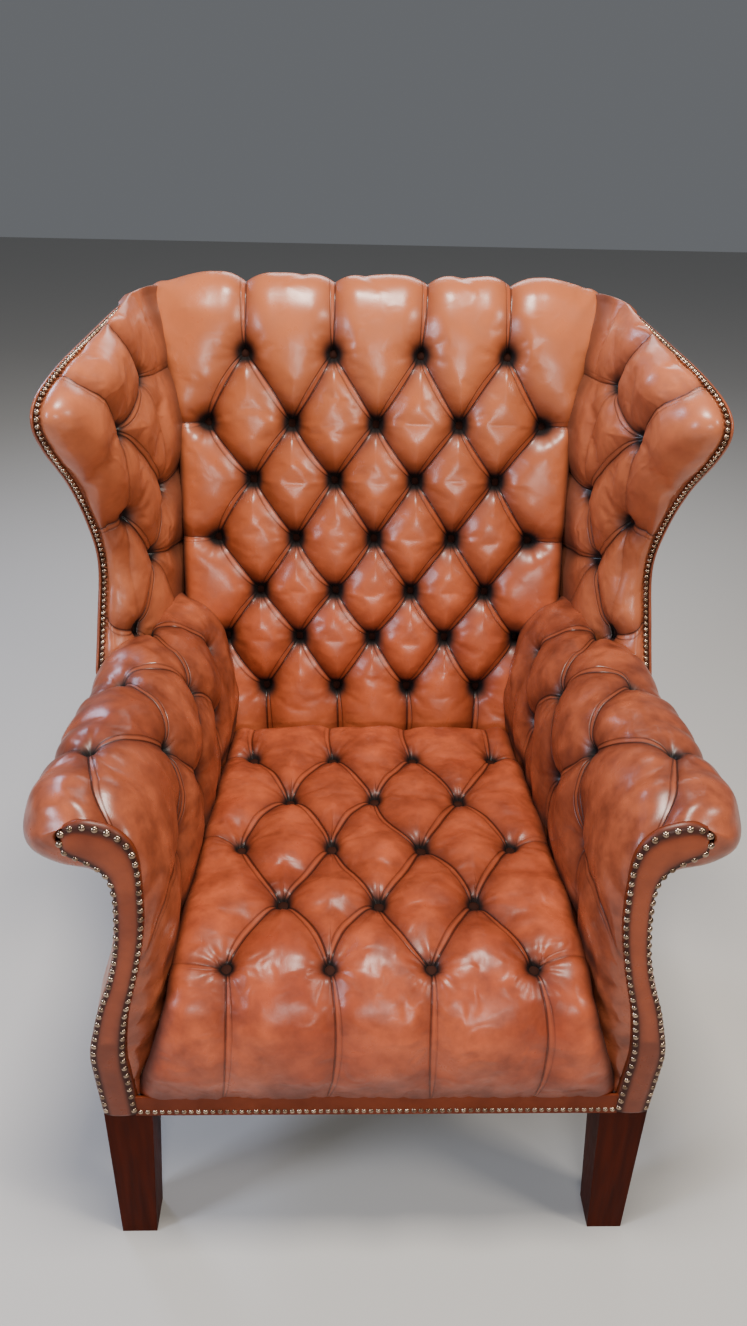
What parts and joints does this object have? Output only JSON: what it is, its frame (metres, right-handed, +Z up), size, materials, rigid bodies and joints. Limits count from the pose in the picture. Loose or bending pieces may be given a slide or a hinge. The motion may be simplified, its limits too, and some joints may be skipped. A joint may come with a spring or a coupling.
{
  "type": "upholstered wing armchair",
  "caption": "Deep-buttoned leather wing armchair with scroll arms, a fixed sprung seat, close-nailed edges and square tapered wooden legs.",
  "frame": {"origin": "centre of the chair's footprint box, on the floor", "axes": "+Z up, +X to the right as seen from the front, the front faces -Y"},
  "size_m": [0.8092, 0.8048, 1.0807],
  "materials": {
    "leather": "antiqued full-grain leather, glossy, hand-rubbed darker into the tufts and edges",
    "mahogany": "dark red-brown mahogany, polished",
    "antique_brass": "antiqued brass, worn bright on the domes",
    "frame_beech": "sawn beech, unfinished",
    "stuffing": "wadding over stitched hair stuffing",
    "webbing": "woven jute webbing",
    "canvas": "plain-woven jute canvas",
    "black_cloth": "thin black platform cloth",
    "spring_steel": "drawn steel wire"
  },
  "bodies": {
    "root": {"front_rail": "frame_beech", "rear_rail": "frame_beech", "back_top_rail": "frame_beech", "back_stay_rail": "frame_beech", "seat_webbing": "webbing", "back_webbing": "webbing", "spring_canvas": "canvas", "dust_cover": "black_cloth", "seat_spring_1": "spring_steel", "seat_spring_2": "spring_steel", "seat_spring_3": "spring_steel", "seat_spring_4": "spring_steel", "seat_spring_5": "spring_steel", "seat_spring_6": "spring_steel", "seat_spring_7": "spring_steel", "seat_spring_8": "spring_steel", "seat_spring_9": "spring_steel", "seat_cover": "leather", "seat_pad": "stuffing", "back_cover": "leather", "back_pad": "stuffing", "outside_back": "leather", "front_border": "leather", "front_nails": "antique_brass", "front_leg_left": "mahogany", "front_leg_right": "mahogany", "rear_leg_left": "mahogany", "rear_leg_right": "mahogany", "side_rail_left": "frame_beech", "side_rail_right": "frame_beech", "corner_block_front_left": "frame_beech", "corner_block_front_right": "frame_beech", "corner_block_rear_left": "frame_beech", "corner_block_rear_right": "frame_beech", "arm_post_left": "frame_beech", "arm_post_right": "frame_beech", "arm_board_left": "frame_beech", "arm_board_right": "frame_beech", "arm_pad_left": "stuffing", "arm_pad_right": "stuffing", "arm_cover_left": "leather", "arm_cover_right": "leather", "arm_facing_left": "leather", "arm_facing_right": "leather", "arm_nails_left": "antique_brass", "arm_nails_right": "antique_brass", "wing_post_left": "frame_beech", "wing_post_right": "frame_beech", "wing_rail_left": "frame_beech", "wing_rail_right": "frame_beech", "wing_pad_left": "stuffing", "wing_pad_right": "stuffing", "wing_cover_left": "leather", "wing_cover_right": "leather", "wing_nails_left": "antique_brass", "wing_nails_right": "antique_brass", "outside_arm_left": "leather", "outside_arm_right": "leather", "outside_wing_left": "leather", "outside_wing_right": "leather"}
  },
  "joints": []
}
